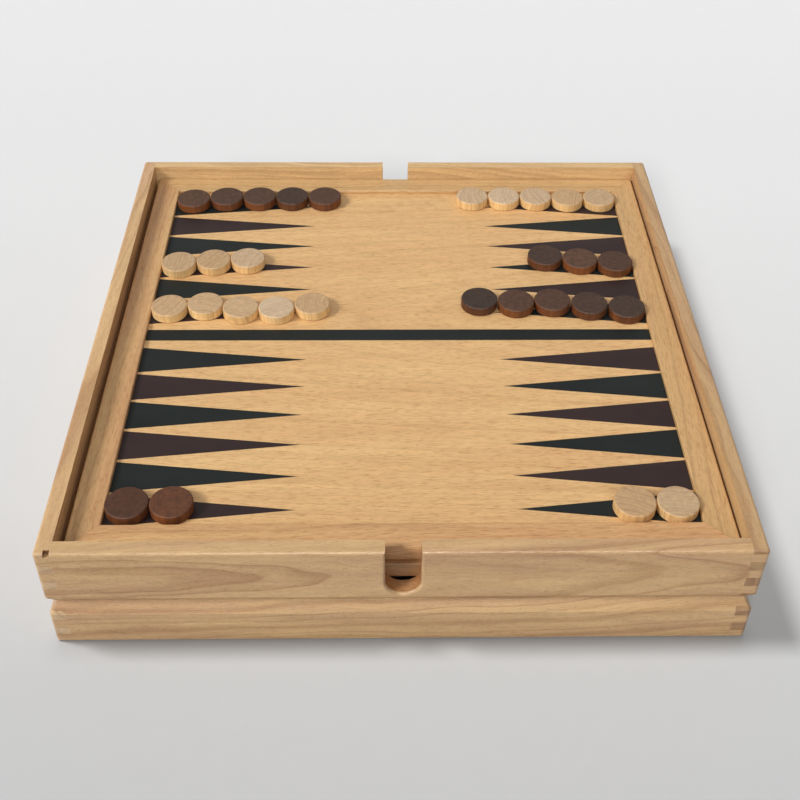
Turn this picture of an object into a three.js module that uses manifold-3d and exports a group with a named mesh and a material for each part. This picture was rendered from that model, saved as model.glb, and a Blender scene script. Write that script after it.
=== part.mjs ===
// Backgammon set: a finger-jointed beech box with a lift-out playing board, thirty
// checkers set out for a new game, and the dice and doubling cube kept under the board.
// Millimetres, +Z up, origin at the middle of the box's base, +Y towards the back.

import * as THREE from 'three';
import * as BufferGeometryUtils from 'three/addons/utils/BufferGeometryUtils.js';
import Module from 'manifold-3d';

const wasm = await Module();
wasm.setup();

// ---- Driving dimensions ----

const BOX = { width: 380, depth: 390, height: 72.5, wall: 9 };
const CORNER_RADIUS = 2.4; // the box's upright outer edges
const RIM_RADIUS = 2.5; // round-over along the top outer edge
const BASE_CHAMFER = 1.2; // along the bottom outer edge
const FINGER_PITCH = 6.35; // height of one finger, counted up from the base
const GROOVE = { middle: 30.2, height: 14, depth: 4.5 }; // V-groove round the outside
const NOTCH = { width: 19, bottom: 39 }; // finger notch in the front and back walls

const BOTTOM = { underside: 5, thickness: 4, inSlot: 4 }; // panel held in slots in the walls
const SLOT_PLAY = 0.3; // above the bottom panel and round its edges

const LEDGE = { width: 10, height: 10, top: 53 }; // strips that the board rests on

const BOARD = {
  width: 358.5,
  depth: 368.5,
  frameWidth: 17.3,
  frameHeight: 10.1,
  x: 0.55, // the loose board lies a little to the right and back in its recess
  y: 1.1,
};
const MITRE_PLAY = 0.05; // each frame member stops this far short of the mitre plane
const PANEL = { recess: 3, thickness: 4, inSlot: 5, play: 0.3 };

const POINTS = { pitch: 25.56, bar: 22.6, middle: -1.5 }; // the printed points, along Y

const CHECKER = {
  diameter: { dark: 23.9, light: 23.3 }, // the two woods are turned to slightly different sizes
  thickness: 6.5,
  chamfer: 0.8,
  sides: 24,
};

const DIE_SIZE = 14;
const DOUBLING_CUBE_SIZE = 20;

// The opening layout. side is -1 left, 1 right; point counts from the bar towards the
// back (positive) or the front (negative); start is the first checker's distance from
// the frame; step is the spacing along the point; wander is how far each checker sits
// behind the point's middle line.
const STACKS = [
  { wood: 'dark', side: -1, point: 6, start: 0.9, step: 24, wander: [2.3, 5, 5.4, 5.5, 5.5] },
  { wood: 'light', side: -1, point: 3, start: 0.3, step: 23.4, wander: [-1.7, 1.1, 2.8] },
  { wood: 'light', side: -1, point: 1, start: 0.3, step: 23.3, wander: [0, 2.5, -1.4, -1.9, 2.3] },
  { wood: 'dark', side: -1, point: -6, start: 0.3, step: 24, wander: [0.3, 0.7] },
  { wood: 'light', side: 1, point: 6, start: 0.3, step: 23.5, wander: [3.8, 4, 5.3, 5.7, 5.7] },
  { wood: 'dark', side: 1, point: 3, start: 0.3, step: 23.8, wander: [-1.1, 2.2, 6.1] },
  { wood: 'dark', side: 1, point: 1, start: 0.3, step: 24.1, wander: [-1.6, 2.3, 6, 5, 7.4] },
  { wood: 'light', side: 1, point: -6, start: 0.3, step: 23.6, wander: [-0.5, -0.2] },
];

// Where the loose pieces lie on the bottom panel, and how each is turned.
const LOOSE = [
  { name: 'die_light_1', size: DIE_SIZE, x: -92, y: -150, turn: 12 },
  { name: 'die_light_2', size: DIE_SIZE, x: -62, y: -156, turn: -24 },
  { name: 'die_dark_1', size: DIE_SIZE, x: 48, y: -152, turn: 33 },
  { name: 'die_dark_2', size: DIE_SIZE, x: 76, y: -158, turn: -8 },
  { name: 'doubling_cube', size: DOUBLING_CUBE_SIZE, x: -6, y: -153, turn: 18 },
];

// ---- Materials ----

function material(color, roughness) {
  return new THREE.MeshStandardMaterial({ color, roughness, metalness: 0 });
}

const MATERIALS = {
  wallBeech: material(0xc79c68, 0.55),
  ledgeBeech: material(0xb98d5c, 0.6),
  frameBeech: material(0xd1a36d, 0.5),
  boardVeneer: material(0xdeb882, 0.5),
  bottomPlywood: material(0xd2b183, 0.65),
  darkChecker: material(0x4a332a, 0.45),
  lightChecker: material(0xd8b78a, 0.45),
  lightDie: material(0xeee6d2, 0.3),
  darkDie: material(0x3a2620, 0.3),
  cube: material(0xe9dfc8, 0.35),
};

// ---- Solids ----

function toSolid(geometry) {
  const bare = geometry.clone();
  bare.deleteAttribute('normal');
  bare.deleteAttribute('uv');
  const merged = BufferGeometryUtils.mergeVertices(bare, 1e-5);
  return new wasm.Manifold(new wasm.Mesh({
    numProp: 3,
    vertProperties: new Float32Array(merged.attributes.position.array),
    triVerts: new Uint32Array(merged.index.array),
  }));
}

function toGeometry(solid) {
  const mesh = solid.getMesh();
  const geometry = new THREE.BufferGeometry();
  geometry.setAttribute('position', new THREE.BufferAttribute(mesh.vertProperties, 3));
  geometry.setIndex(new THREE.BufferAttribute(mesh.triVerts, 1));
  return geometry;
}

// An axis-aligned block between two corners.
function block(low, high) {
  const size = high.map((value, axis) => value - low[axis]);
  const geometry = new THREE.BoxGeometry(...size);
  geometry.translate(...low.map((value, axis) => value + size[axis] / 2));
  return toSolid(geometry);
}

// A rounded rectangle drawn at one height, as points in order round the outline.
function roundedOutline(halfX, halfY, radius, z, arcSteps) {
  const points = [];
  for (let corner = 0; corner < 4; corner += 1) {
    const signX = corner === 0 || corner === 3 ? 1 : -1;
    const signY = corner < 2 ? 1 : -1;
    for (let step = 0; step <= arcSteps; step += 1) {
      const angle = (corner + step / arcSteps) * Math.PI / 2;
      points.push([
        signX * (halfX - radius) + radius * Math.cos(angle),
        signY * (halfY - radius) + radius * Math.sin(angle),
        z,
      ]);
    }
  }
  return points;
}

// A closed skin over outlines stacked from the bottom up, with flat ends.
function stackedOutlines(outlines) {
  const count = outlines[0].length;
  const top = outlines.length - 1;
  const position = outlines.flat(2);
  const index = [];
  for (let level = 0; level < top; level += 1) {
    for (let i = 0; i < count; i += 1) {
      const a = level * count + i;
      const b = level * count + (i + 1) % count;
      index.push(a, b, b + count, a, b + count, a + count);
    }
  }
  for (let i = 1; i < count - 1; i += 1) {
    index.push(0, i + 1, i);
    index.push(top * count, top * count + i, top * count + i + 1);
  }
  const geometry = new THREE.BufferGeometry();
  geometry.setAttribute('position', new THREE.Float32BufferAttribute(position, 3));
  geometry.setIndex(index);
  return toSolid(geometry);
}

// The box's outer form, with its rounded edges and its V-groove, filled solid.
function boxForm() {
  const arcSteps = 4;
  const rimSteps = 4;
  const profile = [
    [BASE_CHAMFER, 0],
    [0, BASE_CHAMFER],
    [0, GROOVE.middle - GROOVE.height / 2],
    [GROOVE.depth, GROOVE.middle],
    [0, GROOVE.middle + GROOVE.height / 2],
  ];
  for (let step = 0; step <= rimSteps; step += 1) {
    const angle = step / rimSteps * Math.PI / 2;
    profile.push([
      RIM_RADIUS * (1 - Math.cos(angle)),
      BOX.height - RIM_RADIUS * (1 - Math.sin(angle)),
    ]);
  }
  const smallestRadius = 0.2;
  return stackedOutlines(profile.map(([inset, z]) => roundedOutline(
    BOX.width / 2 - inset,
    BOX.depth / 2 - inset,
    Math.max(CORNER_RADIUS - inset, smallestRadius),
    z,
    arcSteps,
  )));
}

// ---- The box ----

const innerX = BOX.width / 2 - BOX.wall;
const innerY = BOX.depth / 2 - BOX.wall;

// A wall runs along one axis. Its even fingers, or its odd ones, reach the corners.
function wallBlank(along, side, firstFinger) {
  const reach = along === 'x' ? BOX.width / 2 : BOX.depth / 2;
  const inner = along === 'x' ? innerX : innerY;
  const nearFace = along === 'x' ? innerY : innerX;
  const span = (length, low, high) => {
    const across = side > 0 ? [nearFace, nearFace + BOX.wall] : [-nearFace - BOX.wall, -nearFace];
    return along === 'x'
      ? block([-length, across[0], low], [length, across[1], high])
      : block([across[0], -length, low], [across[1], length, high]);
  };
  let blank = span(inner, 0, BOX.height);
  const fingers = Math.ceil(BOX.height / FINGER_PITCH);
  for (let finger = firstFinger; finger < fingers; finger += 2) {
    const low = finger * FINGER_PITCH;
    blank = blank.add(span(reach, low, Math.min(low + FINGER_PITCH, BOX.height)));
  }
  return blank;
}

// The slab that the bottom panel's slots are cut with.
function bottomSlot() {
  const x = innerX + BOTTOM.inSlot + SLOT_PLAY;
  const y = innerY + BOTTOM.inSlot + SLOT_PLAY;
  const top = BOTTOM.underside + BOTTOM.thickness + SLOT_PLAY;
  return block([-x, -y, BOTTOM.underside], [x, y, top]);
}

// A U-shaped cutter that goes right through the front or the back wall.
function notchCutter(side) {
  const radius = NOTCH.width / 2;
  const past = 5;
  const shape = new THREE.Shape();
  shape.moveTo(-radius, BOX.height + past);
  shape.lineTo(-radius, NOTCH.bottom + radius);
  shape.absarc(0, NOTCH.bottom + radius, radius, Math.PI, 2 * Math.PI, false);
  shape.lineTo(radius, BOX.height + past);
  const depth = BOX.wall + 2 * past;
  const geometry = new THREE.ExtrudeGeometry(shape, { depth, bevelEnabled: false, curveSegments: 10 });
  geometry.rotateX(Math.PI / 2);
  const middle = side * (BOX.depth - BOX.wall) / 2;
  geometry.translate(0, middle + depth / 2, 0);
  return toSolid(geometry);
}

function makeBox() {
  const form = boxForm();
  const slot = bottomSlot();
  const walls = [
    ['front_wall', 'x', -1, 0],
    ['back_wall', 'x', 1, 0],
    ['left_wall', 'y', -1, 1],
    ['right_wall', 'y', 1, 1],
  ];
  const meshes = walls.map(([name, along, side, firstFinger]) => {
    let wall = wallBlank(along, side, firstFinger).intersect(form).subtract(slot);
    if (along === 'x') {
      wall = wall.subtract(notchCutter(side));
    }
    return named(name, toGeometry(wall), MATERIALS.wallBeech);
  });
  meshes.push(named('bottom_panel', blockGeometry(
    2 * (innerX + BOTTOM.inSlot),
    2 * (innerY + BOTTOM.inSlot),
    BOTTOM.thickness,
  ), MATERIALS.bottomPlywood, 0, 0, BOTTOM.underside + BOTTOM.thickness / 2));
  return meshes;
}

function makeLedges() {
  const middle = LEDGE.top - LEDGE.height / 2;
  const offsetX = innerX - LEDGE.width / 2;
  const offsetY = innerY - LEDGE.width / 2;
  const long = blockGeometry(2 * innerX, LEDGE.width, LEDGE.height);
  const short = blockGeometry(LEDGE.width, 2 * (innerY - LEDGE.width), LEDGE.height);
  return [
    named('ledge_front', long, MATERIALS.ledgeBeech, 0, -offsetY, middle),
    named('ledge_back', long, MATERIALS.ledgeBeech, 0, offsetY, middle),
    named('ledge_left', short, MATERIALS.ledgeBeech, -offsetX, 0, middle),
    named('ledge_right', short, MATERIALS.ledgeBeech, offsetX, 0, middle),
  ];
}

// ---- The playing board ----

const frameTop = LEDGE.top + BOARD.frameHeight;
const panelTop = frameTop - PANEL.recess;
const fieldX = BOARD.width / 2 - BOARD.frameWidth;
const fieldY = BOARD.depth / 2 - BOARD.frameWidth;

// A mitred frame member of the given length, lying along X with its outer edge at -Y.
function frameMember(length, halfAcross) {
  const shape = new THREE.Shape();
  const outer = length / 2 - MITRE_PLAY;
  const inner = outer - BOARD.frameWidth;
  shape.moveTo(-outer, -halfAcross);
  shape.lineTo(outer, -halfAcross);
  shape.lineTo(inner, BOARD.frameWidth - halfAcross);
  shape.lineTo(-inner, BOARD.frameWidth - halfAcross);
  shape.closePath();
  const geometry = new THREE.ExtrudeGeometry(shape, { depth: BOARD.frameHeight, bevelEnabled: false });
  geometry.translate(0, 0, LEDGE.top);
  return toSolid(geometry);
}

function panelBlock(play) {
  const x = fieldX + PANEL.inSlot + play;
  const y = fieldY + PANEL.inSlot + play;
  return block([-x, -y, panelTop - PANEL.thickness], [x, y, panelTop + play / 2]);
}

function makeBoard() {
  const slot = panelBlock(PANEL.play);
  const members = [
    ['frame_front', BOARD.width, BOARD.depth, 0],
    ['frame_right', BOARD.depth, BOARD.width, 90],
    ['frame_back', BOARD.width, BOARD.depth, 180],
    ['frame_left', BOARD.depth, BOARD.width, 270],
  ];
  const meshes = members.map(([name, length, across, turn]) => {
    const solid = frameMember(length, across / 2).rotate([0, 0, turn]).subtract(slot);
    return named(name, toGeometry(solid), MATERIALS.frameBeech, BOARD.x, BOARD.y, 0);
  });
  meshes.push(named(
    'board_panel', toGeometry(panelBlock(0)), MATERIALS.boardVeneer, BOARD.x, BOARD.y, 0,
  ));
  return meshes;
}

// ---- Checkers, dice and doubling cube ----

// A turned disc with a chamfered edge, standing on z = 0.
function checkerGeometry(diameter) {
  const radius = diameter / 2;
  const { thickness, chamfer, sides } = CHECKER;
  const profile = [
    [0, 0],
    [radius - chamfer, 0],
    [radius, chamfer],
    [radius, thickness - chamfer],
    [radius - chamfer, thickness],
    [0, thickness],
  ].map(([x, y]) => new THREE.Vector2(x, y));
  const geometry = new THREE.LatheGeometry(profile, sides);
  geometry.rotateX(Math.PI / 2);
  return geometry;
}

// The middle line of a point, counted from the bar: 1 to 6 back, -1 to -6 front.
function pointMiddle(point) {
  const from = POINTS.bar / 2 + (Math.abs(point) - 0.5) * POINTS.pitch;
  return POINTS.middle + Math.sign(point) * from;
}

function makeCheckers() {
  const shapes = {
    dark: checkerGeometry(CHECKER.diameter.dark),
    light: checkerGeometry(CHECKER.diameter.light),
  };
  const used = { dark: 0, light: 0 };
  const meshes = [];
  for (const { wood, side, point, start, step, wander } of STACKS) {
    const first = fieldX - CHECKER.diameter[wood] / 2 - start;
    wander.forEach((behind, place) => {
      used[wood] += 1;
      const number = String(used[wood]).padStart(2, '0');
      const look = wood === 'dark' ? MATERIALS.darkChecker : MATERIALS.lightChecker;
      const x = BOARD.x + side * (first - place * step);
      const y = pointMiddle(point) + behind;
      meshes.push(named(`checker_${wood}_${number}`, shapes[wood], look, x, y, panelTop));
    });
  }
  return meshes;
}

function makeLoosePieces() {
  const floor = BOTTOM.underside + BOTTOM.thickness;
  const looks = { die_light: MATERIALS.lightDie, die_dark: MATERIALS.darkDie };
  return LOOSE.map(({ name, size, x, y, turn }) => {
    const look = looks[name.slice(0, -2)] ?? MATERIALS.cube;
    const mesh = named(name, blockGeometry(size, size, size), look, x, y, floor + size / 2);
    mesh.rotation.z = THREE.MathUtils.degToRad(turn);
    return mesh;
  });
}

// ---- Assembly ----

function blockGeometry(x, y, z) {
  return new THREE.BoxGeometry(x, y, z);
}

function named(name, geometry, look, x = 0, y = 0, z = 0) {
  const mesh = new THREE.Mesh(geometry, look);
  mesh.name = name;
  mesh.position.set(x, y, z);
  return mesh;
}

const backgammonSet = new THREE.Group();
backgammonSet.add(
  ...makeBox(),
  ...makeLedges(),
  ...makeBoard(),
  ...makeCheckers(),
  ...makeLoosePieces(),
);

export default backgammonSet;
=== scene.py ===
"""Backgammon set: the looks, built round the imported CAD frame.

Meshes are built in millimetres in the row frame and turned into metres as each becomes a
piece. Every wooden mesh carries two attributes that its material reads: "grain" is the
place of each point in the tree, in millimetres, with x along the trunk and y and z out
from its heart, and "end_grain" is 1 on a face cut straight across the trunk.
"""

import math
import random

import bmesh
import bpy
from mathutils import Matrix, Vector


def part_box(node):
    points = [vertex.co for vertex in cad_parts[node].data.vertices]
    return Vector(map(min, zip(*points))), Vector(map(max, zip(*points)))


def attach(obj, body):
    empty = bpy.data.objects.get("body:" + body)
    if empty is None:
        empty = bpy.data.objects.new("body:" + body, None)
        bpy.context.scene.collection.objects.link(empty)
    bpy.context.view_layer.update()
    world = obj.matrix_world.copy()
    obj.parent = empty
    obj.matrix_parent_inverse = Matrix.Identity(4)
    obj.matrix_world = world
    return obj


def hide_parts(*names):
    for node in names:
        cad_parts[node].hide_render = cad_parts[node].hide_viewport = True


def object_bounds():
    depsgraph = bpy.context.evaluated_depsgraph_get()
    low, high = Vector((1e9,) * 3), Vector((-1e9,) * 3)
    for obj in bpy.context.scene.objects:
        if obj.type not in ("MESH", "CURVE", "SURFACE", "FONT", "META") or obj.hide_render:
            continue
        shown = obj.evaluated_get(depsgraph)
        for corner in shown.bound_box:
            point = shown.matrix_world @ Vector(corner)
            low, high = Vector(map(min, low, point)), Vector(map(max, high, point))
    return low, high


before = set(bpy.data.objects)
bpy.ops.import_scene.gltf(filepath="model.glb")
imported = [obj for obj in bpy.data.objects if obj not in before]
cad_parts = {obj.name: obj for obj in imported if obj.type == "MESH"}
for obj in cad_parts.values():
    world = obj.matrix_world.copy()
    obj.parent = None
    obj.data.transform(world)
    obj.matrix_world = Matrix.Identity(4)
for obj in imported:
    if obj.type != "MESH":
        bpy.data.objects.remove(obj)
CAD_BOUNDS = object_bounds()

MM = 0.001
rng = random.Random(11)

# ---- Dimensions, in millimetres ----

OUTER_RADIUS = 2.2          # the box's upright outer edges
LEAST_RADIUS = 0.3          # what is left of it at the bottom of the groove
RIM_RADIUS = 2.3            # round-over along the top outer edge
BASE_CHAMFER = 1.2
FINGER_PITCH = 6.35
JOINT_GAP = 0.16            # each finger stops this far short of its neighbour
GROOVE_MIDDLE, GROOVE_HEIGHT, GROOVE_DEPTH = 30.2, 14.0, 4.5
NOTCH_WIDTH, NOTCH_BOTTOM = 19.0, 40.3
NOTCH_FALL = 1.5            # the notch is this much lower at the outer face
NOTCH_OUTER_EASE, NOTCH_INNER_EASE = 1.6, 0.5
SLOT_LOW, SLOT_HIGH, SLOT_REACH = 5.0, 9.3, 4.3
CHIP_LOW, CHIP_HIGH = (-184.5, -197.0, 69.4), (-181.2, -192.0, 75.0)

LEDGE_EASE = 0.6
BOTTOM_EASE, BOTTOM_CORNER = 0.3, 2.0
FRAME_EASE, FRAME_OUTER_EASE = 0.9, 1.5
FRAME_UNDER_EASE, FRAME_LIP_EASE = 0.5, 0.2
PANEL_IN_FRAME = 5.3
PANEL_LIP_GAP = 0.06

POINT_PITCH, POINT_BASE = 25.56, 23.8
POINT_LENGTH = {"left": 103.5, "right": 99.5}
PRINT_MIDDLE, PRINT_BAR_SPAN = -1.5, 22.6
STRIPE_LOW, STRIPE_HIGH = -6.4, 4.6
POINTS_A_QUARTER = 6

CHECKER_EASE = 0.95
CHECKER_SIDES = 96

# Each checker's brightness and how warm its end grain is, in the order of the CAD names.
LIGHT_LOOKS = [
    (0.92, 0.8), (0.92, 0.9), (0.95, 0.4), (1.0, 0.9), (1.0, 0.8),
    (1.0, 0.75), (1.0, 0.1), (0.97, 1.0), (0.92, 0.6), (0.95, 0.95),
    (0.95, 0.3), (1.0, 0.15), (0.97, 0.35), (0.92, 0.6), (0.94, 1.0),
]
DARK_LOOKS = [
    (1.12, 0.3), (0.95, 0.25), (0.95, 0.25), (0.68, 0.1), (1.0, 0.3),
    (0.75, 0.9), (1.1, 1.0), (0.85, 0.35), (1.2, 0.3), (0.7, 0.15),
    (0.7, 0.05), (0.75, 0.2), (0.95, 0.4), (0.98, 0.4), (0.6, 0.05),
]

# How far each is turned about the upright, in degrees.
DIE_TURNS = {"die_light_1": 12, "die_light_2": -24, "die_dark_1": 33, "die_dark_2": -8}
CUBE_TURN = 18

# Shares of a die's or the doubling cube's own edge.
DIE_ROUNDING, PIP_STEP, PIP_RADIUS, PIP_DEPTH = 0.13, 0.26, 0.1, 0.045
CUBE_ROUNDING, NUMBER_HEIGHT = 0.12, 0.62
NUMBER_SLAB, NUMBER_DEPTH = 1.0, 0.35       # millimetres


def corners_of(node):
    """A CAD node's lowest and highest corner, in millimetres."""
    low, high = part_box(node)
    return low / MM, high / MM


# ---- Node graphs ----


def srgb(red, green, blue):
    """A colour given as 0 to 255 screen values, as the linear RGBA that shaders take."""
    linear = [((value / 255 + 0.055) / 1.055) ** 2.4 for value in (red, green, blue)]
    return (*linear, 1.0)


class Graph:
    """A material's or world's node tree, with a short way to add linked nodes."""

    def __init__(self, owner):
        self.owner = owner
        owner.use_nodes = True
        self.tree = owner.node_tree
        self.tree.nodes.clear()

    def node(self, kind, inputs, **settings):
        made = self.tree.nodes.new("ShaderNode" + kind)
        for key, value in settings.items():
            setattr(made, key, value)
        for key, value in inputs.items():
            if isinstance(value, bpy.types.NodeSocket):
                self.tree.links.new(value, made.inputs[key])
            else:
                made.inputs[key].default_value = value
        return made

    def attribute(self, name, output="Fac", kind="GEOMETRY"):
        return self.node("Attribute", {}, attribute_name=name, attribute_type=kind).outputs[output]

    def math(self, operation, *values, clamp=False):
        inputs = dict(enumerate(values))
        return self.node("Math", inputs, operation=operation, use_clamp=clamp).outputs[0]

    def vector(self, operation, *values):
        return self.node("VectorMath", dict(enumerate(values)), operation=operation).outputs[0]

    def noise(self, vector, detail=2.0, roughness=0.5, output=0):
        inputs = {"Vector": vector, "Scale": 1.0, "Detail": detail, "Roughness": roughness}
        return self.node("TexNoise", inputs).outputs[output]

    def stretched(self, grain, along, across):
        """A place in the tree, scaled one way along the trunk and another across it."""
        return self.vector("MULTIPLY", grain, (along, across, across))

    def sway(self, grain, along, across, reach):
        """A smooth sideways shift of up to about reach / 2 either way."""
        shift = self.noise(self.stretched(grain, along, across), output=1)
        shift = self.vector("SUBTRACT", shift, (0.5, 0.5, 0.5))
        return self.vector("MULTIPLY", shift, (0.0, reach, reach))

    def span(self, value, low, high, to_low=0.0, to_high=1.0):
        """value moved from the span low to high onto to_low to to_high, and kept within it."""
        inputs = {"Value": value, 1: low, 2: high, 3: to_low, 4: to_high}
        return self.node("MapRange", inputs).outputs[0]

    def mix(self, factor, a, b, blend="MIX"):
        inputs = {0: factor, 6: a, 7: b}
        return self.node("Mix", inputs, data_type="RGBA", blend_type=blend).outputs[2]

    def ramp(self, value, stops):
        made = self.node("ValToRGB", {0: value})
        elements = made.color_ramp.elements
        while len(elements) < len(stops):
            elements.new(0.5)
        for element, (place, shade) in zip(elements, stops):
            element.position = place
            element.color = (shade, shade, shade, 1)
        return made.outputs[0]

    def finish(self, colour, roughness, bump_height=None, bump_depth=0.0, **sockets):
        """Links up the surface and returns the material. bump_depth is in millimetres."""
        shader = self.node("BsdfPrincipled", {"Base Color": colour, "Roughness": roughness})
        for name, value in sockets.items():
            shader.inputs[name.replace("_", " ")].default_value = value
        if bump_height is not None:
            bump = self.node("Bump", {"Height": bump_height, "Distance": bump_depth * MM})
            self.tree.links.new(bump.outputs[0], shader.inputs["Normal"])
        self.node("OutputMaterial", {"Surface": shader.outputs[0]})
        return self.owner


# ---- Materials ----

# How strong a growth ring's mark is, from its early wood out to its late wood.
RING_PROFILE = [(0.0, 0.25), (0.25, 0.1), (0.65, 0.5), (0.9, 1.0), (1.0, 0.25)]
RING_UNEVEN_SCALE, RING_UNEVEN_TURNS = 0.11, 2.6    # how the rings' spacing wavers
FAINTEST_RING = 0.3

RING_TINT = (0.68, 0.58, 0.52, 1.0)
DASH_TINT = (0.66, 0.50, 0.36, 1.0)
PORE_TINT = (0.34, 0.22, 0.14, 1.0)


def wood_fields(g, ring_gap, wander):
    """What a wood shows, by name, each from 0 to 1.

    The two numbers after a place in the tree say how fine the noise there is, along the
    trunk and across it, in periods for each millimetre.
    """
    grain = g.attribute("grain", "Vector")
    drift = g.sway(grain, 0.009, 0.035, 2 * wander)
    ripple = g.sway(grain, 0.04, 0.2, 0.4)
    bent = g.vector("ADD", g.vector("ADD", grain, drift), ripple)
    across = g.vector("MULTIPLY", bent, (0.0, 1.0, 1.0))
    radius = g.node("VectorMath", {0: across}, operation="LENGTH").outputs["Value"]

    place = {"W": g.math("MULTIPLY", radius, RING_UNEVEN_SCALE), "Scale": 1.0}
    uneven = g.node("TexNoise", place, noise_dimensions="1D").outputs[0]
    turns = g.math("DIVIDE", radius, ring_gap)
    turns = g.math("ADD", turns, g.math("MULTIPLY", uneven, RING_UNEVEN_TURNS))
    ring = {"W": g.math("FLOOR", turns)}
    strength = g.node("TexWhiteNoise", ring, noise_dimensions="1D").outputs[0]
    strength = g.span(strength, 0.0, 1.0, FAINTEST_RING, 1.0)
    patch = g.noise(g.stretched(bent, 0.005, 0.06), detail=3.0, roughness=0.55)
    return {
        "ring": g.math("MULTIPLY", g.ramp(g.math("FRACT", turns), RING_PROFILE), strength),
        "fibre": g.noise(g.stretched(bent, 0.035, 1.7), detail=3.0, roughness=0.6),
        "dash": g.span(g.noise(g.stretched(bent, 0.14, 1.9), detail=1.0), 0.54, 0.65),
        "pore": g.span(g.noise(g.stretched(grain, 0.4, 3.0), detail=1.0), 0.66, 0.73),
        "mottle": g.span(g.noise(g.stretched(bent, 0.022, 0.3)), 0.3, 0.7),
        "patch": g.span(patch, 0.32, 0.68),
    }


def wood_material(name, colours, ring_gap=3.4, wander=5.0, ring_depth=0.45, dash_depth=0.4,
                  pore_depth=0.4, end_share=0.6, streak=0.16, mottle=0.09, roughness=(0.36, 0.5)):
    """A clear-finished wood. Each piece's own "tone", "blush" and "warmth" vary it.

    colours are the pale wood, the rosy wood, cool end grain and warm end grain, in screen
    values. ring_gap and wander are in millimetres.
    """
    g = Graph(bpy.data.materials.new(name))
    pale, blush, end_cool, end_warm = [srgb(*colour) for colour in colours]
    fields = wood_fields(g, ring_gap, wander)
    rosy = g.math("ADD", fields["patch"], g.attribute("blush", kind="OBJECT"), clamp=True)
    end = g.mix(g.attribute("warmth", kind="OBJECT"), end_cool, end_warm)
    end_grain = g.math("MULTIPLY", g.attribute("end_grain"), end_share)
    colour = g.mix(end_grain, g.mix(rosy, pale, blush), end)
    for mark, depth, tint in (
        ("ring", ring_depth, RING_TINT),
        ("dash", dash_depth, DASH_TINT),
        ("pore", pore_depth, PORE_TINT),
    ):
        colour = g.mix(g.math("MULTIPLY", fields[mark], depth), colour, tint, "MULTIPLY")
    shade = g.span(fields["fibre"], 0.25, 0.75, 1.0 + streak / 2, 1.0 - streak / 2)
    mottling = g.span(fields["mottle"], 0.0, 1.0, 1.0 - mottle / 2, 1.0 + mottle / 2)
    shade = g.math("MULTIPLY", shade, mottling)
    shade = g.math("MULTIPLY", shade, g.attribute("tone", kind="OBJECT"))
    colour = g.node("VectorMath", {0: colour, "Scale": shade}, operation="SCALE").outputs[0]
    height = g.math("SUBTRACT", g.math("MULTIPLY", fields["fibre"], 0.7), fields["dash"])
    polish = g.span(fields["fibre"], 0.3, 0.7, *roughness)
    return g.finish(colour, polish, bump_height=height, bump_depth=0.04, IOR=1.48)


def ink_material(name, dark, light):
    """Screen-printed ink, which shows the fibres under it faintly."""
    g = Graph(bpy.data.materials.new(name))
    grain = g.attribute("grain", "Vector")
    fibres = g.noise(g.stretched(grain, 0.05, 1.9), detail=3.0, roughness=0.6)
    patches = g.noise(g.stretched(grain, 0.02, 0.05))
    colour = g.mix(g.span(g.math("ADD", fibres, patches), 0.7, 1.3), dark, light)
    polish = g.span(fibres, 0.3, 0.7, 0.36, 0.48)
    return g.finish(colour, polish, bump_height=fibres, bump_depth=0.02, IOR=1.32)


def paint_material(name, dark, light, roughness):
    """Plain moulded or painted colour with a fine mottle."""
    g = Graph(bpy.data.materials.new(name))
    place = g.node("TexCoord", {}).outputs["Object"]
    mottle = g.noise(g.vector("MULTIPLY", place, (900.0, 900.0, 900.0)), detail=3.0)
    colour = g.mix(g.span(mottle, 0.3, 0.7), dark, light)
    polish = g.span(mottle, 0.3, 0.7, roughness, roughness + 0.1)
    return g.finish(colour, polish, bump_height=mottle, bump_depth=0.01, IOR=1.5)


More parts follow.
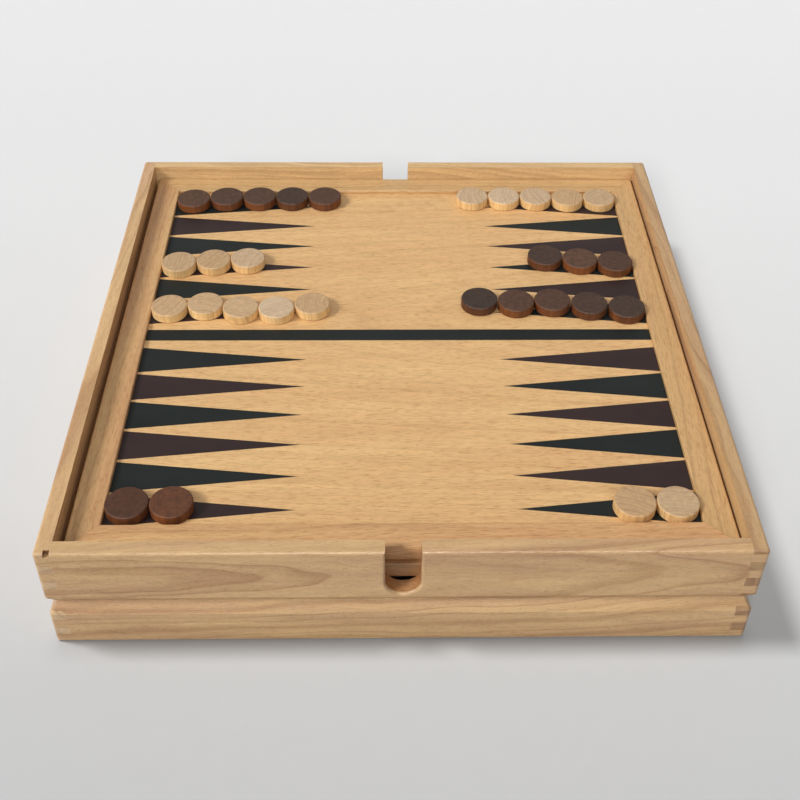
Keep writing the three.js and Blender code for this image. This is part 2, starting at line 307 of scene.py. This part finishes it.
MATERIALS = {
    "wall": wood_material(
        "wall_beech", [(223, 186, 133), (206, 165, 124), (206, 180, 146), (162, 124, 86)],
        ring_gap=6.0, wander=8.0, ring_depth=0.95, dash_depth=0.3, pore_depth=0.5, streak=0.18,
        mottle=0.14, roughness=(0.24, 0.38),
    ),
    # The notch's sawn band: darker, warmer wood, partly the colour of sawn beech and partly painted
    # shade inside the notch.
    "notch_cut_and_shade": wood_material(
        "notch_cut_beech", [(186, 137, 88), (172, 122, 78), (170, 120, 76), (160, 110, 70)],
        dash_depth=0.6, pore_depth=0.6, streak=0.3,
    ),
    # Painted shade: the faces inside the chip in the left wall take this darker wood for the shade
    # in the hole.
    "chip": wood_material(
        "wall_chip_shade", [(148, 104, 70), (138, 94, 62), (140, 98, 66), (132, 90, 60)],
    ),
    "ledge": wood_material(
        "ledge_beech", [(202, 160, 110), (192, 146, 100), (170, 128, 86), (150, 108, 70)],
    ),
    "frame": wood_material(
        "frame_beech", [(222, 180, 124), (208, 158, 110), (190, 144, 98), (170, 124, 82)],
        ring_gap=3.2, wander=4.0, ring_depth=0.55, dash_depth=0.5, streak=0.2,
    ),
    "veneer": wood_material(
        "board_veneer", [(232, 190, 132), (226, 180, 124), (178, 132, 88), (178, 132, 88)],
        wander=1.8, ring_depth=0.35, dash_depth=0.55, pore_depth=0.35, mottle=0.1,
    ),
    "plywood": wood_material(
        "birch_plywood", [(222, 190, 144), (214, 178, 132), (170, 126, 84), (170, 126, 84)],
        ring_gap=6.0, wander=12.0, ring_depth=0.4, pore_depth=0.1, streak=0.1,
        roughness=(0.6, 0.72),
    ),
    "light_checker": wood_material(
        "light_checker_wood", [(238, 202, 142), (233, 190, 128), (210, 186, 156), (200, 164, 122)],
        ring_gap=2.4, ring_depth=0.85, dash_depth=0.2, pore_depth=0.2, end_share=0.9,
        streak=0.14, mottle=0.18,
    ),
    "dark_checker": wood_material(
        "dark_checker_wood", [(121, 66, 20), (103, 55, 19), (72, 55, 44), (92, 52, 26)],
        ring_gap=2.4, ring_depth=0.7, dash_depth=0.3, end_share=0.9, streak=0.24, mottle=0.5,
        roughness=(0.52, 0.64),
    ),
    "green_ink": ink_material("green_black_ink", srgb(24, 29, 27), srgb(33, 38, 35)),
    "purple_ink": ink_material("purple_brown_ink", srgb(46, 33, 32), srgb(58, 42, 40)),
    "light_die": paint_material("light_die_body", srgb(232, 222, 198), srgb(242, 234, 214), 0.25),
    "dark_die": paint_material("dark_die_body", srgb(60, 38, 30), srgb(72, 46, 36), 0.25),
    "dark_paint": paint_material("dark_pip_paint", srgb(30, 26, 24), srgb(40, 34, 30), 0.4),
    "light_paint": paint_material("light_pip_paint", srgb(226, 214, 188), srgb(236, 226, 204), 0.4),
}


# ---- Meshes ----

SHARP_ANGLE = 32            # two faces that meet more steeply than this, in degrees, show an edge


def tree_axes(along, heart, lean=(0.0, 0.0)):
    """The matrix from a point in the row frame to its place in the tree.

    along is the piece's axis that the trunk follows, heart is a point on the trunk's
    middle line, and lean is how far that line drifts across for each millimetre along.
    """
    first, second = {"x": (1, 2), "y": (0, 2), "z": (0, 1)}[along]
    axis = "xyz".index(along)
    axes = Matrix.Identity(4)
    axes[0] = [float(column == axis) for column in range(3)] + [-heart[axis]]
    for row, across in enumerate((first, second)):
        values = [float(column == across) for column in range(3)]
        values[axis] = -lean[row]
        axes[row + 1] = values + [-heart[across] + lean[row] * heart[axis]]
    return axes


def skin(rings):
    """A closed bmesh over rings of points joined in order, with flat ends."""
    bm = bmesh.new()
    levels = [[bm.verts.new(point) for point in ring] for ring in rings]
    for lower, upper in zip(levels, levels[1:]):
        for i, vertex in enumerate(lower):
            j = (i + 1) % len(lower)
            bm.faces.new((vertex, lower[j], upper[j], upper[i]))
    bm.faces.new(list(reversed(levels[0])))
    bm.faces.new(levels[-1])
    bmesh.ops.recalc_face_normals(bm, faces=bm.faces)
    return bm


def eased(corners, steps=5):
    """The outline through corners given as (x, y, radius), each rounded to its radius."""
    points = []
    for i, (x, y, radius) in enumerate(corners):
        here = Vector((x, y))
        if radius == 0:
            points.append(here)
            continue
        before = (Vector(corners[i - 1][:2]) - here).normalized()
        after = (Vector(corners[(i + 1) % len(corners)][:2]) - here).normalized()
        half = before.angle(after) / 2
        centre = here + (before + after).normalized() * radius / math.sin(half)
        start = here + before * radius / math.tan(half) - centre
        end = here + after * radius / math.tan(half) - centre
        sweep = math.atan2(start.x * end.y - start.y * end.x, start.dot(end))
        for step in range(steps + 1):
            turned = start.copy()
            turned.rotate(Matrix.Rotation(sweep * step / steps, 2))
            points.append(centre + turned)
    return points


def quarter_round(radius, steps):
    """How far a round-over is in from either of its two faces, from the first to the second."""
    turns = [step / steps * math.pi / 2 for step in range(steps + 1)]
    return [(radius * (1 - math.cos(turn)), radius * (1 - math.sin(turn))) for turn in turns]


def block(low, high):
    """A plain block between two corners, as a cutting tool."""
    outline = [(low[0], low[1]), (high[0], low[1]), (high[0], high[1]), (low[0], high[1])]
    return skin([[(x, y, z) for x, y in outline] for z in (low[2], high[2])])


def to_object(name, bm):
    mesh = bpy.data.meshes.new(name)
    bm.to_mesh(mesh)
    bm.free()
    made = bpy.data.objects.new(name, mesh)
    bpy.context.scene.collection.objects.link(made)
    return made


def carved(bm, operation, tool):
    """The bmesh that is left of bm after a boolean with the bmesh tool."""
    body, cutter = to_object("carving", bm), to_object("tool", tool)
    modifier = body.modifiers.new("carve", "BOOLEAN")
    modifier.operation, modifier.solver, modifier.object = operation, "EXACT", cutter
    graph = bpy.context.evaluated_depsgraph_get()
    result = bmesh.new()
    result.from_object(body, graph)
    for spent in (body, cutter):
        mesh = spent.data
        bpy.data.objects.remove(spent)
        bpy.data.meshes.remove(mesh)
    return result


def add_piece(name, bm, materials, body, slot, node, axes, tone=1.0, blush=0.0, warmth=0.5):
    """Makes the bmesh, in millimetres, a piece that rides on body and stands for node."""
    mesh = bpy.data.meshes.new(name)
    bm.normal_update()
    bm.to_mesh(mesh)
    bm.free()
    trunk = Vector(axes[0][:3])
    places = [number for vertex in mesh.vertices for number in axes @ vertex.co]
    ends = [abs(polygon.normal.dot(trunk)) for polygon in mesh.polygons]
    mesh.attributes.new("grain", "FLOAT_VECTOR", "POINT").data.foreach_set("vector", places)
    mesh.attributes.new("end_grain", "FLOAT", "FACE").data.foreach_set("value", ends)
    mesh.transform(Matrix.Scale(MM, 4))
    for material in materials:
        mesh.materials.append(MATERIALS[material])
    mesh.shade_smooth()
    mesh.set_sharp_from_angle(angle=math.radians(SHARP_ANGLE))
    made = bpy.data.objects.new(name, mesh)
    bpy.context.scene.collection.objects.link(made)
    made["tone"], made["blush"], made["warmth"] = float(tone), float(blush), float(warmth)
    made.modifiers.new("normals", "WEIGHTED_NORMAL").keep_sharp = True
    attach(made, body)
    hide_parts(node)
    return made


# ---- The box ----

# The wall's own wood, then darker woods for the chip, painted shade in the hole, and for the
# notch's sawn band, partly painted shade.
WALL_WOODS = ["wall", "chip", "notch_cut_and_shade"]
CHIP_SHADE_WOOD, CUT_AND_SHADE_WOOD = 1, 2


def box_form(half_x, half_y, height):
    """The box's outer form, filled solid, with its rounded edges and its V-groove."""
    profile = [
        (BASE_CHAMFER, 0.0),
        (0.0, BASE_CHAMFER),
        (0.0, GROOVE_MIDDLE - GROOVE_HEIGHT / 2),
        (GROOVE_DEPTH, GROOVE_MIDDLE),
        (0.0, GROOVE_MIDDLE + GROOVE_HEIGHT / 2),
    ]
    profile += [(inset, height - below) for inset, below in quarter_round(RIM_RADIUS, steps=8)]
    rings = []
    for inset, z in profile:
        x, y, radius = half_x - inset, half_y - inset, max(OUTER_RADIUS - inset, LEAST_RADIUS)
        corners = [(-x, -y, radius), (x, -y, radius), (x, y, radius), (-x, y, radius)]
        outline = eased(corners, steps=6)
        rings.append([(point.x, point.y, z) for point in outline])
    return skin(rings)


def comb(long_reach, short_reach, first_finger, height):
    """The outline of a wall from its face: long at its own fingers, short between them."""
    side = []
    count = math.ceil(height / FINGER_PITCH)
    for finger in range(count):
        own = finger % 2 == first_finger
        grow = -JOINT_GAP if own else JOINT_GAP
        low = finger * FINGER_PITCH - grow if finger > 0 else -BASE_CHAMFER
        high = (finger + 1) * FINGER_PITCH + grow if finger < count - 1 else height + RIM_RADIUS
        reach = long_reach if own else short_reach
        side += [(reach, low), (reach, high)]
    return side + [(-reach, z) for reach, z in reversed(side)]


def notch_tool(face_in, face_out):
    """A U-shaped cutter through a wall, flared at both faces so that the arrises are eased."""
    radius = NOTCH_WIDTH / 2
    centre_z = NOTCH_BOTTOM + radius
    outward = math.copysign(1.0, face_out - face_in)
    inner = quarter_round(NOTCH_INNER_EASE, steps=6)
    outer = quarter_round(NOTCH_OUTER_EASE, steps=6)
    past, above, round_steps = 3.0, 100.0, 24
    profile = [(face_in - outward * past, NOTCH_INNER_EASE + past)]
    profile += [(face_in + outward * depth, grow) for depth, grow in inner]
    profile += [(face_out - outward * depth, grow) for depth, grow in reversed(outer)]
    profile.append((face_out + outward * past, NOTCH_OUTER_EASE + past))
    rings = []
    for y, grow in profile:
        wide = radius + grow
        ring = [(-wide, y, above)]
        fall = NOTCH_FALL * min(max((y - face_in) / (face_out - face_in), 0.0), 1.0)
        for step in range(round_steps + 1):
            angle = math.pi + step / round_steps * math.pi
            ring.append((wide * math.cos(angle), y, centre_z - fall + wide * math.sin(angle)))
        ring.append((wide, y, above))
        rings.append(ring)
    bm = skin(rings)
    middle = (face_in + face_out) / 2
    for polygon in bm.faces:        # the sawn band between the two flares: darker wood, partly painted shade
        if abs(polygon.calc_center_median().y - middle) < abs(face_out - face_in) / 4:
            polygon.material_index = CUT_AND_SHADE_WOOD
    return bm


# For each wall: the axis it runs along, the side it is on, whether its fingers are the
# even or the odd ones, the heart and lean of its tree, and its looks.
WALLS = {
    "front_wall": ("x", -1, 0, (-40.0, -182.0, 54.0), (0.09, 0.012), {}),
    "back_wall": ("x", 1, 0, (30.0, 150.0, 20.0), (-0.11, 0.02), {"tone": 1.05, "blush": -1.0}),
    "left_wall": ("y", -1, 1, (-160.0, 20.0, 30.0), (0.09, -0.02), {"tone": 1.09, "warmth": 0.1}),
    "right_wall": ("y", 1, 1, (160.0, -30.0, 50.0), (-0.1, 0.015), {"tone": 0.93, "warmth": 1.0}),
}


def make_walls():
    corner = CAD_BOUNDS[1] / MM
    inner_x, inner_y = -corners_of("left_wall")[1].x, -corners_of("front_wall")[1].y
    past = 5.0
    for name, (along, side, first, heart, lean, looks) in WALLS.items():
        half_long, outer = (corner.x, corner.y) if along == "x" else (corner.y, corner.x)
        reach, inner = (inner_x, inner_y) if along == "x" else (inner_y, inner_x)
        outline = comb(half_long + past, reach, first, corner.z)
        faces = (side * inner, side * (outer + past))
        if along == "x":
            blank = skin([[(u, across, z) for u, z in outline] for across in faces])
        else:
            blank = skin([[(across, u, z) for u, z in outline] for across in faces])
        wall = carved(box_form(corner.x, corner.y, corner.z), "INTERSECT", blank)
        slot_x, slot_y = inner_x + SLOT_REACH, inner_y + SLOT_REACH
        slots = block((-slot_x, -slot_y, SLOT_LOW), (slot_x, slot_y, SLOT_HIGH))
        wall = carved(wall, "DIFFERENCE", slots)
        if along == "x":
            wall = carved(wall, "DIFFERENCE", notch_tool(side * inner, side * outer))
        if name == "left_wall":
            # The chip's faces take the darker chip wood: painted shade in the hole.
            chip = block(CHIP_LOW, CHIP_HIGH)
            for polygon in chip.faces:
                polygon.material_index = CHIP_SHADE_WOOD
            wall = carved(wall, "DIFFERENCE", chip)
        axes = tree_axes(along, heart, lean)
        add_piece(name + "_wood", wall, WALL_WOODS, "box", "wall_beech", name, axes, **looks)


def make_ledges():
    for name in ("ledge_front", "ledge_back", "ledge_left", "ledge_right"):
        low, high = corners_of(name)
        along = "x" if high.x - low.x > high.y - low.y else "y"
        near, far = (low.y, high.y) if along == "x" else (low.x, high.x)
        corners = [(near, low.z), (far, low.z), (far, high.z), (near, high.z)]
        section = eased([(*corner, LEDGE_EASE) for corner in corners])
        if along == "x":
            bm = skin([[(x, p.x, p.y) for p in section] for x in (low.x, high.x)])
        else:
            bm = skin([[(p.x, y, p.y) for p in section] for y in (low.y, high.y)])
        away = Vector((rng.uniform(20, 50), rng.uniform(20, 50), rng.uniform(-30, 30)))
        axes = tree_axes(along, (low + high) / 2 + away, (0.05, 0.02))
        tone = rng.uniform(0.95, 1.0)
        add_piece(name + "_strip", bm, ["ledge"], "box", "ledge_beech", name, axes, tone)


def make_bottom():
    low, high = corners_of("bottom_panel")
    rings = []
    for inset, z in (
        (BOTTOM_EASE, low.z),
        (0.0, low.z + BOTTOM_EASE),
        (0.0, high.z - BOTTOM_EASE),
        (BOTTOM_EASE, high.z),
    ):
        left, right, front, back = low.x + inset, high.x - inset, low.y + inset, high.y - inset
        corners = [(left, front), (right, front), (right, back), (left, back)]
        outline = eased([(*corner, BOTTOM_CORNER) for corner in corners])
        rings.append([(p.x, p.y, z) for p in outline])
    bm, name = skin(rings), "bottom_panel"
    axes = tree_axes("y", (40.0, 0.0, -90.0), (0.03, 0.02))
    add_piece(name + "_plywood", bm, ["plywood"], "box", "birch_plywood", name, axes)


# ---- The playing board ----

# For each frame member: its turn from the front, the lean of its tree, and its looks.
FRAME = {
    # frame_front's tone is raised to paint back onto its top the light of the lamps kept off it:
    # painted light.
    "frame_front": (0, (0.03, 0.01), {"tone": 1.18, "blush": 0.1}),
    "frame_right": (90, (0.02, -0.03), {"tone": 0.86, "blush": -0.5}),
    "frame_back": (180, (-0.02, 0.02), {"tone": 0.9, "blush": -1.0}),
    "frame_left": (270, (0.04, 0.015), {"tone": 0.94, "blush": 0.0}),
}


def make_frame():
    board_low = Vector((corners_of("frame_left")[0].x, corners_of("frame_front")[0].y, 0.0))
    board_high = Vector((corners_of("frame_right")[1].x, corners_of("frame_back")[1].y, 0.0))
    centre = (board_low + board_high) / 2
    panel_low, panel_high = corners_of("board_panel")
    slot_low, slot_high = panel_low.z - PANEL_LIP_GAP, panel_high.z + PANEL_LIP_GAP
    for name, (turn, lean, looks) in FRAME.items():
        low, high = corners_of(name)
        along = "x" if turn % 180 == 0 else "y"
        length = high.x - low.x if along == "x" else high.y - low.y
        width = high.y - low.y if along == "x" else high.x - low.x
        out = board_high.y - centre.y if along == "x" else board_high.x - centre.x
        section = eased([
            (0.0, low.z, FRAME_UNDER_EASE),
            (width, low.z, FRAME_UNDER_EASE),
            (width, slot_low, FRAME_LIP_EASE),
            (width - PANEL_IN_FRAME, slot_low, 0.0),
            (width - PANEL_IN_FRAME, slot_high, 0.0),
            (width, slot_high, FRAME_LIP_EASE),
            (width, high.z, FRAME_EASE),
            (0.0, high.z, FRAME_OUTER_EASE),
        ])
        bm = skin([
            [(end * (length / 2 - p.x), p.x - out, p.y) for p in section] for end in (-1, 1)
        ])
        bmesh.ops.rotate(bm, verts=bm.verts, matrix=Matrix.Rotation(math.radians(turn), 3, "Z"))
        bmesh.ops.translate(bm, verts=bm.verts, vec=centre)
        away = Vector((rng.uniform(25, 45), rng.uniform(-45, -25), rng.uniform(-40, -20)))
        axes = tree_axes(along, (low + high) / 2 + away, lean)
        add_piece(name + "_member", bm, ["frame"], "board", "frame_beech", name, axes, **looks)


def make_panel():
    """The veneered panel. Its top is cut into the printed shapes, so that their edges are exact."""
    low, high = corners_of("board_panel")
    field_left, field_right = corners_of("frame_left")[1].x, corners_of("frame_right")[0].x
    wood, green, purple = 0, 1, 2
    bm = bmesh.new()
    known = {}

    def corner(x, y):
        key = (round(x, 4), round(y, 4))
        if key not in known:
            known[key] = bm.verts.new((x, y, high.z))
        return known[key]

    def face(points, look):
        made = bm.faces.new([corner(*point) for point in points])
        made.material_index = look

    face([
        (low.x, STRIPE_LOW), (high.x, STRIPE_LOW), (high.x, STRIPE_HIGH), (low.x, STRIPE_HIGH),
    ], green)
    for half, stripe_y, edge_y in ((1, STRIPE_HIGH, high.y), (-1, STRIPE_LOW, low.y)):
        outlines = []
        for field_x, inward, edge_x, length in (
            (field_left, 1, low.x, POINT_LENGTH["left"]),
            (field_right, -1, high.x, POINT_LENGTH["right"]),
        ):
            zigzag = [(edge_x, stripe_y)]
            for index in range(POINTS_A_QUARTER):
                middle = PRINT_MIDDLE + half * (PRINT_BAR_SPAN / 2 + (index + 0.5) * POINT_PITCH)
                near, far = middle - half * POINT_BASE / 2, middle + half * POINT_BASE / 2
                tip = (field_x + inward * length, middle)
                look = green if (index + (half < 0) + (inward < 0)) % 2 else purple
                face([(field_x, near), tip, (field_x, far)], look)
                face([(edge_x, near), (field_x, near), (field_x, far), (edge_x, far)], look)
                zigzag += [(edge_x, near), (field_x, near), tip, (field_x, far), (edge_x, far)]
            outlines.append(zigzag + [(edge_x, edge_y)])
        face(outlines[0] + outlines[1][::-1], wood)
    bmesh.ops.recalc_face_normals(bm, faces=bm.faces)
    rim = [edge for edge in bm.edges if edge.is_boundary]
    skirt = bmesh.ops.extrude_edge_only(bm, edges=rim)["geom"]
    for vertex in skirt:
        if isinstance(vertex, bmesh.types.BMVert):
            vertex.co.z = low.z
    bmesh.ops.contextual_create(bm, geom=[edge for edge in bm.edges if edge.is_boundary])
    for polygon in bm.faces:
        if min(vertex.co.z for vertex in polygon.verts) < high.z:
            polygon.material_index = wood
    bmesh.ops.recalc_face_normals(bm, faces=bm.faces)
    looks = ["veneer", "green_ink", "purple_ink"]
    axes = tree_axes("x", (0.0, 20.0, -120.0), (0.012, 0.05))
    add_piece("board_panel_veneer", bm, looks, "board", "board_veneer", "board_panel", axes)


# ---- Checkers, dice and doubling cube ----


def make_checker(name, wood, tone, warmth):
    low, high = corners_of(name)
    centre = (low + high) / 2
    radius = (high.x - low.x) / 2
    profile = eased([
        (0.0, low.z, 0.0),
        (radius, low.z, CHECKER_EASE),
        (radius, high.z, CHECKER_EASE),
        (0.0, high.z, 0.0),
    ], steps=6)
    turns = [2 * math.pi * step / CHECKER_SIDES for step in range(CHECKER_SIDES)]
    rings = []
    for p in profile[1:-1]:
        rings.append([
            (centre.x + p.x * math.cos(a), centre.y + p.x * math.sin(a), p.y) for a in turns
        ])
    away, distance = rng.uniform(0, 2 * math.pi), rng.uniform(30, 120)
    heart = centre + distance * Vector((math.cos(away), math.sin(away), 0.0))
    axes = tree_axes("z", heart, (rng.uniform(-0.1, 0.1), rng.uniform(-0.1, 0.1)))
    blush = rng.uniform(-0.3, 0.3)
    add_piece(name + "_turned", skin(rings), [wood], name, wood, name, axes, tone, blush, warmth)


def make_checkers():
    for wood, looks in (("dark", DARK_LOOKS), ("light", LIGHT_LOOKS)):
        for number, (tone, warmth) in enumerate(looks, 1):
            make_checker(f"checker_{wood}_{number:02}", wood + "_checker", tone, warmth)


FACE_TURNS = {
    "top": Matrix.Identity(4),
    "bottom": Matrix.Rotation(math.pi, 4, "X"),
    "front": Matrix.Rotation(math.pi / 2, 4, "X"),
    "back": Matrix.Rotation(-math.pi / 2, 4, "X"),
    "right": Matrix.Rotation(math.pi / 2, 4, "Y"),
    "left": Matrix.Rotation(-math.pi / 2, 4, "Y"),
}
PIPS = {
    1: [(0, 0)],
    2: [(-1, -1), (1, 1)],
    3: [(-1, -1), (0, 0), (1, 1)],
    4: [(-1, -1), (-1, 1), (1, -1), (1, 1)],
    5: [(-1, -1), (-1, 1), (0, 0), (1, -1), (1, 1)],
    6: [(-1, -1), (-1, 0), (-1, 1), (1, -1), (1, 0), (1, 1)],
}

MARKING = 1                 # the material index of pips and numbers


def rounded_cube(size, radius):
    bm = bmesh.new()
    bmesh.ops.create_cube(bm, size=size)
    bmesh.ops.bevel(bm, geom=bm.edges[:], offset=radius, segments=6, profile=0.5, affect="EDGES")
    return bm


def add_pip_tool(bm, at, radius, depth):
    """Adds a shallow round bowl, sunk below the plane z = 0 and closed a little above it."""
    segments, steps, above = 28, 5, 0.4
    rings = []
    for step in range(1, steps + 1):
        angle = step / steps * math.pi / 2
        rings.append((radius * math.sin(angle), -depth * math.cos(angle)))
    rings.append((radius, above))
    turns = [2 * math.pi * i / segments for i in range(segments)]
    bowl = skin([[(r * math.cos(a), r * math.sin(a), z) for a in turns] for r, z in rings])
    bmesh.ops.transform(bowl, verts=bowl.verts, matrix=at)
    spare = bpy.data.meshes.new("bowl")
    bowl.to_mesh(spare)
    bowl.free()
    bm.from_mesh(spare)
    bpy.data.meshes.remove(spare)


def make_die(name, turn, numbers, body_look, pip_look, slot):
    low, high = corners_of(name)
    size = high.z - low.z
    pip_step, face = size * PIP_STEP, size / 2
    tools = bmesh.new()
    for side, number in numbers.items():
        for column, row in PIPS[number]:
            at = FACE_TURNS[side] @ Matrix.Translation((column * pip_step, row * pip_step, face))
            add_pip_tool(tools, at, size * PIP_RADIUS, size * PIP_DEPTH)
    for polygon in tools.faces:
        polygon.material_index = MARKING
    bm = carved(rounded_cube(size, size * DIE_ROUNDING), "DIFFERENCE", tools)
    stand = Matrix.Translation((low + high) / 2) @ Matrix.Rotation(math.radians(turn), 4, "Z")
    bmesh.ops.transform(bm, verts=bm.verts, matrix=stand)
    looks = [body_look, pip_look]
    add_piece(name + "_body", bm, looks, name, slot, name, tree_axes("x", (0, 0, 0)))


def make_dice():
    for index, (name, turn) in enumerate(DIE_TURNS.items()):
        light = "light" in name
        pairs = [("top", "bottom"), ("front", "back"), ("left", "right")]
        numbers = {}
        for shift, (one, other) in enumerate(pairs):
            number = (index + shift) % 3 + 1
            opposite = 7 - number
            values = (number, opposite) if index % 2 else (opposite, number)
            numbers[one], numbers[other] = values
        looks = ("light_die", "dark_paint") if light else ("dark_die", "light_paint")
        make_die(name, turn, numbers, *looks, "light_die" if light else "dark_die")


def number_mesh(text, height):
    """A number as a bmesh slab, centred on the origin in the XY plane."""
    curve = bpy.data.curves.new("number", "FONT")
    curve.body, curve.size, curve.extrude = text, height, NUMBER_SLAB / 2
    curve.align_x, curve.align_y = "CENTER", "CENTER"
    made = bpy.data.objects.new("number", curve)
    bpy.context.scene.collection.objects.link(made)
    graph = bpy.context.evaluated_depsgraph_get()
    mesh = bpy.data.meshes.new_from_object(made.evaluated_get(graph))
    bm = bmesh.new()
    bm.from_mesh(mesh)
    bpy.data.meshes.remove(mesh)
    bpy.data.objects.remove(made)
    bpy.data.curves.remove(curve)
    bmesh.ops.remove_doubles(bm, verts=bm.verts, dist=0.0005)
    return bm


def make_doubling_cube():
    name = "doubling_cube"
    low, high = corners_of(name)
    size = high.z - low.z
    values = {"top": "64", "front": "2", "right": "4", "back": "8", "left": "16", "bottom": "32"}
    bm = rounded_cube(size, size * CUBE_ROUNDING)
    for side, text in values.items():
        tool = number_mesh(text, size * NUMBER_HEIGHT)
        for polygon in tool.faces:
            polygon.material_index = MARKING
        middle = size / 2 + NUMBER_SLAB / 2 - NUMBER_DEPTH
        at = FACE_TURNS[side] @ Matrix.Translation((0, 0, middle))
        bmesh.ops.transform(tool, verts=tool.verts, matrix=at)
        bm = carved(bm, "DIFFERENCE", tool)
    stand = Matrix.Translation((low + high) / 2) @ Matrix.Rotation(math.radians(CUBE_TURN), 4, "Z")
    bmesh.ops.transform(bm, verts=bm.verts, matrix=stand)
    looks = ["light_die", "dark_paint"]
    add_piece(name + "_body", bm, looks, name, "light_die", name, tree_axes("x", (0, 0, 0)))


# ---- Stage, lights and camera, in metres ----

FLOOR_RADIUS = 6.0

# How pale the floor is, from near the camera to behind the box: darker towards the camera, a
# painted fall-off of light.
FLOOR_NEAR, FLOOR_FAR = -0.3, 0.7
FLOOR_SHADES = [
    (0.0, 0.316), (0.08, 0.329), (0.14, 0.352), (0.21, 0.379),
    (0.32, 0.398), (0.55, 0.425), (1.0, 0.448),
]
# How bright the sky is, from the camera's side to the far side.
SKY_SHADES = [(0.0, 0.14), (0.8, 0.31), (1.0, 0.6)]


def make_floor():
    g = Graph(bpy.data.materials.new("floor_paper"))
    place = g.node("TexCoord", {}).outputs["Object"]
    depth = g.span(g.node("SeparateXYZ", {0: place}).outputs["Y"], FLOOR_NEAR, FLOOR_FAR)
    tooth = g.noise(g.vector("MULTIPLY", place, (60.0, 60.0, 60.0)), detail=4.0)
    tooth = g.span(tooth, 0.3, 0.7, 0.995, 1.005)
    # The painted fall-off of light along the floor.
    shade = g.ramp(depth, FLOOR_SHADES)
    shade = g.node("VectorMath", {0: shade, "Scale": tooth}, operation="SCALE").outputs[0]
    material = g.finish(shade, 0.9, IOR=1.1)
    bm = bmesh.new()
    bmesh.ops.create_circle(bm, cap_ends=True, radius=FLOOR_RADIUS, segments=96)
    floor = to_object("floor", bm)
    floor.data.materials.append(material)
    return floor


def add_sun(name, toward, strength, spread, state, objects, colour=(1.0, 1.0, 1.0)):
    """A distant light in the direction toward, spread degrees wide.

    It lights only the objects given when state is "INCLUDE", and all but them when it is
    "EXCLUDE".
    """
    data = bpy.data.lights.new(name, "SUN")
    data.energy, data.angle, data.color = strength, math.radians(spread), colour
    lamp = bpy.data.objects.new(name, data)
    lamp.rotation_euler = (-Vector(toward)).to_track_quat("-Z", "Y").to_euler()
    bpy.context.scene.collection.objects.link(lamp)
    linked = bpy.data.collections.new(name)
    for item in objects:
        linked.objects.link(item)
    for entry in linked.collection_objects:
        entry.light_linking.link_state = state
    lamp.light_linking.receiver_collection = linked
    return lamp


def make_lights(floor):
    g = Graph(bpy.data.worlds.new("studio"))
    direction = g.node("TexCoord", {}).outputs["Generated"]
    backward = g.span(g.node("SeparateXYZ", {0: direction}).outputs["Y"], -1.0, 1.0)
    brightness = g.ramp(backward, SKY_SHADES)
    sky = g.node("Background", {"Color": (1.0, 1.0, 1.0, 1.0), "Strength": brightness})
    g.node("OutputWorld", {"Surface": sky.outputs[0]})
    bpy.context.scene.world = g.owner
    behind_notch = [bpy.data.objects[name] for name in ("ledge_front_strip", "frame_front_member")]
    outside = [bpy.data.objects[name + "_wall_wood"] for name in ("front", "left", "right")]
    add_sun("key", (-0.71, -0.335, 0.62), 2.4, 18, "EXCLUDE", [floor])
    add_sun("overhead", (-0.1, 0.2, 0.97), 0.3, 60, "EXCLUDE", [floor])
    # The frame front member is kept out of these lamps and of shine; its raised tone in FRAME
    # paints their light back onto its top.
    dim = [floor] + behind_notch
    add_sun("front_high", (0.1, -0.73, 0.68), 0.45, 12, "EXCLUDE", dim)
    add_sun("front_low", (0.15, -0.93, 0.34), 0.62, 24, "EXCLUDE", dim + outside, (0.94, 1.0, 1.06))
    unshone = [floor, bpy.data.objects["frame_front_member"]]
    shine = add_sun("shine", (0.0, -0.73, 0.68), 2.0, 34, "EXCLUDE", unshone, (1.0, 0.92, 0.78))
    shine.visible_diffuse = False
    add_sun("floor_high", (-0.43, 0.1, 0.9), 3.32, 12, "INCLUDE", [floor])
    add_sun("floor_back", (0.0, 0.12, 0.9), 0.84, 12, "INCLUDE", [floor])
    add_sun("floor_low", (-0.27, -0.8, 0.52), 2.4, 14, "INCLUDE", [floor])


CAMERA_PLACE = (-0.01163, -0.58955, 0.53121)
CAMERA_YAW, CAMERA_PITCH, CAMERA_ROLL = -0.0263, 0.7257, 0.01485   # in radians, pitch downward
CAMERA_LENS, CAMERA_SENSOR = 52.656, 36.0
CAMERA_SHIFT = (-0.0045, -0.0069)


def make_camera():
    data = bpy.data.cameras.new("camera")
    data.sensor_width, data.lens = CAMERA_SENSOR, CAMERA_LENS
    data.shift_x, data.shift_y = CAMERA_SHIFT
    camera = bpy.data.objects.new("camera", data)
    turn = Matrix.Rotation(CAMERA_YAW, 4, "Z") @ Matrix.Rotation(math.pi / 2 - CAMERA_PITCH, 4, "X")
    turn = turn @ Matrix.Rotation(CAMERA_ROLL, 4, "Z")
    camera.matrix_world = Matrix.Translation(CAMERA_PLACE) @ turn
    bpy.context.scene.collection.objects.link(camera)
    bpy.context.scene.camera = camera


make_walls()
make_ledges()
make_bottom()
make_frame()
make_panel()
make_checkers()
make_dice()
make_doubling_cube()
make_lights(make_floor())
make_camera()
bpy.context.scene.view_settings.view_transform = "Standard"
